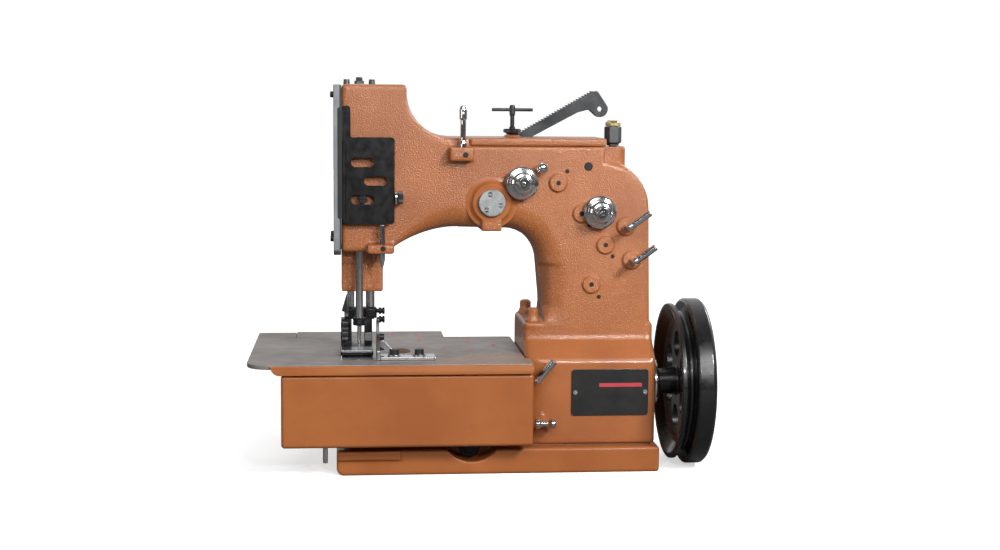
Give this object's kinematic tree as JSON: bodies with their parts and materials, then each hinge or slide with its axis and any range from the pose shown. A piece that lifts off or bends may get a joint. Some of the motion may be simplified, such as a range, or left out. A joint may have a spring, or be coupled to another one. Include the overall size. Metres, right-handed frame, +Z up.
{
  "type": "bag closer sewing machine",
  "caption": "Heavy sewing head for closing bags: cast arm over a flat work table, needle and presser drive inside, thread tensions in front and a belt handwheel on the right.",
  "frame": {"origin": "middle of the base's underside, on the surface it stands on", "axes": "+X along the arm from the needle to the handwheel, +Y away from the operator, +Z up"},
  "size_m": [0.4467, 0.234, 0.381],
  "materials": {
    "orange_paint": "wrinkle-finish terracotta orange paint",
    "table_metal": "satin grey-beige plate",
    "grey_paint": "satin grey",
    "black_paint": "satin to gloss black",
    "chrome": "polished",
    "steel": "ground",
    "black_oxide": "black oxide",
    "brass": "turned"
  },
  "bodies": {
    "frame": {"base": "orange_paint", "main_frame": "orange_paint", "top_cover": "orange_paint", "rear_cover": "orange_paint", "bed": "orange_paint", "block_bolt_front": "orange_paint", "block_bolt_rear": "orange_paint", "work_table": "table_metal", "rear_table": "table_metal", "throat_plate": "steel", "face_plate": "grey_paint", "thread_guard": "black_paint", "guard_bolt": "steel", "thumb_screw": "black_oxide", "name_plate": "black_paint", "guide_rod": "chrome", "eye_post": "chrome", "cover_hinge_pin": "chrome", "right_bearing": "chrome", "left_bearing": "brass", "tension_discs_left": "chrome", "tension_discs_right": "chrome", "ball_eyelet": "chrome", "guide_pin_upper": "chrome", "guide_pin_lower": "chrome", "cover_guide_pin": "chrome", "spool_pin": "chrome", "head_oil_plug": "steel", "edge_guide": "steel", "finger_plate": "steel", "lever_shaft": "steel", "pivot_cap": "steel", "lifter_shaft": "steel", "looper_shaft": "steel", "drain_plug": "black_oxide", "oil_cup": "black_oxide"},
    "crankshaft": {"main_shaft": "steel", "bed_shaft": "steel", "handwheel": "black_paint"},
    "needle_lever": {"needle_lever": "steel"},
    "needle_link": {"needle_link": "steel"},
    "connecting_rod": {"connecting_rod": "steel"},
    "needle_bar": {"needle_bar": "chrome", "needle_clamp": "black_oxide", "needle": "chrome"},
    "looper": {"looper": "steel"},
    "feed": {"feed_bar": "steel"},
    "presser": {"presser_bar": "chrome", "presser_guide_rod": "chrome", "presser_clamp": "black_oxide", "presser_foot": "black_oxide"},
    "presser_spring": {"presser_spring": "steel"},
    "lifter": {"lifter_lever": "black_oxide"},
    "pressure_screw": {"pressure_screw": "black_oxide"},
    "lock_nut": {"lock_nut": "black_oxide"},
    "tension_nut_left": {"tension_nut_left": "chrome"},
    "tension_nut_right": {"tension_nut_right": "chrome"},
    "front_cover": {"front_cover": "orange_paint"},
    "oil_cup_cap": {"oil_cup_cap": "brass"}
  },
  "joints": [
    {"name": "crankshaft_turn", "type": "hinge", "parent": "frame", "child": "crankshaft", "pos_m": [0, -0.028, 0.0834], "axis": [1, 0, 0], "continuous": true},
    {"name": "needle_lever_rock", "type": "hinge", "parent": "frame", "child": "needle_lever", "pos_m": [-0.007, 0, 0.2609], "axis": [0, 1, 0], "range_deg": [0, 16]},
    {"name": "needle_link_swing", "type": "hinge", "parent": "needle_lever", "child": "needle_link", "pos_m": [-0.13465, 0, 0.24296], "axis": [0, 1, 0], "range_deg": [-16, 0]},
    {"name": "connecting_rod_swing", "type": "hinge", "parent": "needle_lever", "child": "connecting_rod", "pos_m": [0.07717, 0, 0.27273], "axis": [0, 1, 0], "range_deg": [-16, 0]},
    {"name": "needle_bar_stroke", "type": "slide", "parent": "frame", "child": "needle_bar", "axis": [0, 0, 1], "range_m": [0, 0.03598]},
    {"name": "looper_rock", "type": "hinge", "parent": "frame", "child": "looper", "pos_m": [-0.112, 0, 0.05], "axis": [0, 1, 0], "range_deg": [-16, 0]},
    {"name": "feed_stroke", "type": "slide", "parent": "frame", "child": "feed", "axis": [0, 1, 0], "range_m": [0, 0.004]},
    {"name": "lifter_turn", "type": "hinge", "parent": "frame", "child": "lifter", "pos_m": [0.008, 0.0215, 0.3], "axis": [0, 1, 0], "range_deg": [0, 12]},
    {"name": "presser_lift", "type": "slide", "parent": "frame", "child": "presser", "axis": [0, 0, 1], "range_m": [0, 0.008]},
    {"name": "presser_spring_bend", "type": "hinge", "parent": "frame", "child": "presser_spring", "pos_m": [0.017, 0.008, 0.2883], "axis": [0, 1, 0], "range_deg": [0, 3.4]},
    {"name": "pressure_screw_turn", "type": "hinge", "parent": "frame", "child": "pressure_screw", "pos_m": [0.017, 0.008, 0.32], "axis": [0, 0, 1], "continuous": true},
    {"name": "lock_nut_turn", "type": "hinge", "parent": "frame", "child": "lock_nut", "pos_m": [0.017, 0.008, 0.328], "axis": [0, 0, 1], "continuous": true},
    {"name": "tension_nut_left_turn", "type": "hinge", "parent": "frame", "child": "tension_nut_left", "pos_m": [0.0218, -0.055, 0.2805], "axis": [0, -1, 0], "continuous": true},
    {"name": "tension_nut_right_turn", "type": "hinge", "parent": "frame", "child": "tension_nut_right", "pos_m": [0.0983, -0.055, 0.2525], "axis": [0, -1, 0], "continuous": true},
    {"name": "front_cover_swing", "type": "hinge", "parent": "frame", "child": "front_cover", "pos_m": [-0.1677, -0.072, 0.06], "axis": [0, 0, 1], "range_deg": [-100, 0]},
    {"name": "oil_cup_cap_turn", "type": "hinge", "parent": "frame", "child": "oil_cup_cap", "pos_m": [0.1152, -0.01, 0.337], "axis": [0, 0, 1], "continuous": true}
  ],
  "couplings": [
    {"joint": "needle_link_swing", "follows": "needle_lever_rock", "ratio": -1},
    {"joint": "connecting_rod_swing", "follows": "needle_lever_rock", "ratio": -1},
    {"joint": "needle_bar_stroke", "follows": "needle_lever_rock", "m_per_rad": 0.12848},
    {"joint": "looper_rock", "follows": "needle_lever_rock", "ratio": -1},
    {"joint": "feed_stroke", "follows": "needle_lever_rock", "m_per_rad": 0.014288},
    {"joint": "presser_lift", "follows": "lifter_turn", "m_per_rad": 0.038149},
    {"joint": "presser_spring_bend", "follows": "lifter_turn", "ratio": 0.275}
  ]
}
